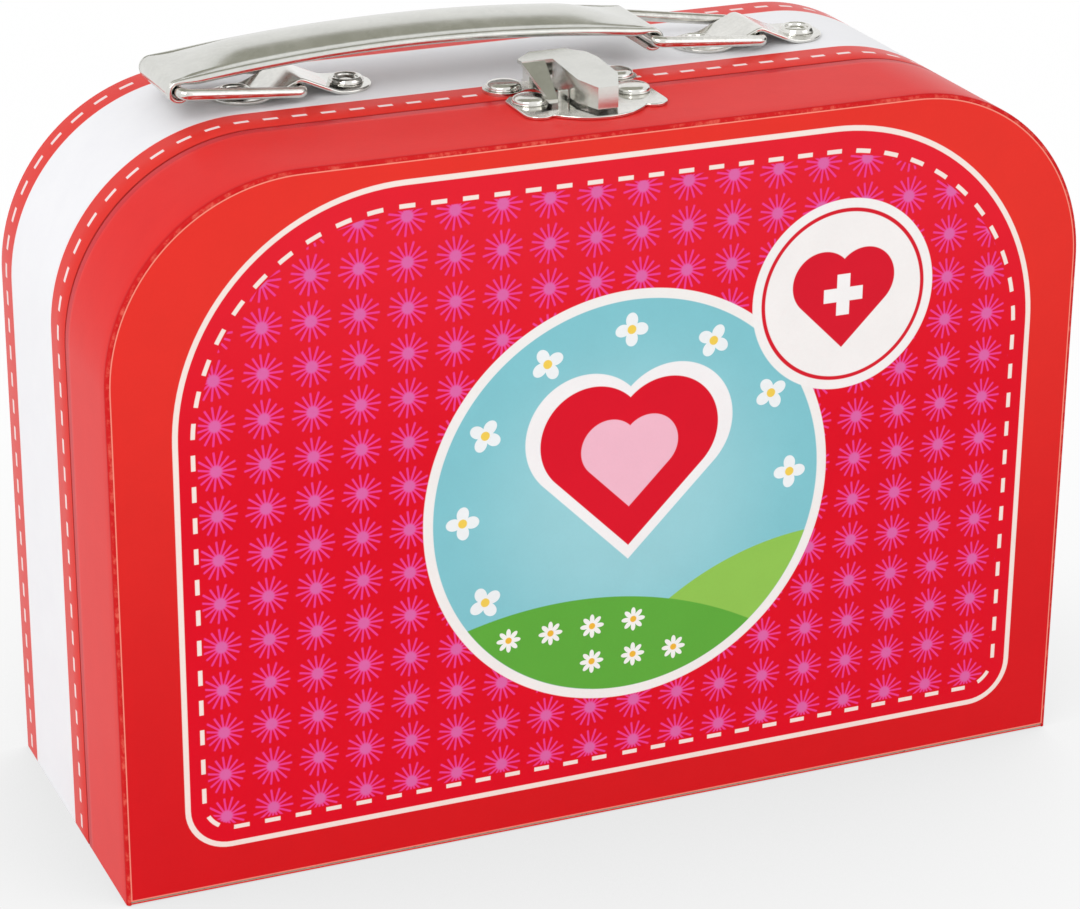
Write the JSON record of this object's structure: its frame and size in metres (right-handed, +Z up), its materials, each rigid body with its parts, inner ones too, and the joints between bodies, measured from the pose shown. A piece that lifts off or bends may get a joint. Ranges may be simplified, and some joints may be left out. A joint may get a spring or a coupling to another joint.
{
  "type": "toy doctor case",
  "caption": "Small cardboard play suitcase with rounded top corners, a bottom-hinged lid, a metal swing handle and a hasp latch.",
  "frame": {"origin": "middle of the case's base, on the surface that it stands on", "axes": "+X to the right across the front, -Y out of the lid's front, +Z up"},
  "size_m": [0.2, 0.072, 0.1546],
  "materials": {
    "board": "matt grey board",
    "white_paper": "satin printed paper",
    "red_paper": "satin printed paper",
    "front_print": "satin printed paper",
    "lining_paper": "matt paper",
    "hinge_cloth": "book cloth",
    "nickel": "bright nickel plate",
    "nickel_wire": "bright nickel plate",
    "washer_steel": "plain steel"
  },
  "bodies": {
    "tray": {"base_back_board": "board", "base_wall_board": "board", "base_bottom_board": "board", "base_wall_paper": "white_paper", "base_back_paper": "white_paper", "base_bottom_paper": "white_paper", "base_wall_lining": "lining_paper", "base_back_lining": "lining_paper", "hinge_cloth_base": "hinge_cloth", "bracket_left": "nickel", "bracket_right": "nickel", "bracket_rivets": "nickel", "bracket_washers": "washer_steel", "latch_rear_plate": "nickel", "latch_rear_rivets": "nickel", "latch_rear_washers": "washer_steel", "latch_pin": "nickel_wire"},
    "lid": {"lid_front_board": "board", "lid_wall_board": "board", "lid_bottom_board": "board", "lid_wall_paper": "red_paper", "lid_front_print": "front_print", "lid_bottom_paper": "red_paper", "lid_wall_lining": "lining_paper", "lid_front_lining": "lining_paper", "hinge_cloth_lid": "hinge_cloth", "latch_front_plate": "nickel", "latch_catch": "nickel", "latch_front_rivets": "nickel", "latch_front_washers": "washer_steel"},
    "hasp": {"latch_hasp": "nickel"},
    "left_link": {"link_left": "nickel_wire"},
    "grip": {"handle_grip": "nickel"},
    "right_link": {"link_right": "nickel_wire"}
  },
  "joints": [
    {"name": "lid_hinge", "type": "hinge", "parent": "tray", "child": "lid", "pos_m": [0, -0.01, 0], "axis": [1, 0, 0], "range_deg": [0, 175]},
    {"name": "hasp_hinge", "type": "hinge", "parent": "tray", "child": "hasp", "pos_m": [0, -0.0024, 0.1452], "axis": [-1, 0, 0], "range_deg": [0, 78]},
    {"name": "handle_swing", "type": "hinge", "parent": "tray", "child": "left_link", "pos_m": [-0.04825, 0.0104, 0.144], "axis": [0, 1, 0], "range_deg": [0, 166]},
    {"name": "grip_pivot", "type": "hinge", "parent": "left_link", "child": "grip", "pos_m": [-0.07306, 0.0104, 0.14705], "axis": [0, 1, 0], "range_deg": [-166, 0]},
    {"name": "right_link_swing", "type": "hinge", "parent": "tray", "child": "right_link", "pos_m": [0.04825, 0.0104, 0.144], "axis": [0, 1, 0], "range_deg": [0, 166]}
  ],
  "couplings": [
    {"joint": "grip_pivot", "follows": "handle_swing", "ratio": -1},
    {"joint": "right_link_swing", "follows": "handle_swing", "ratio": 1}
  ]
}
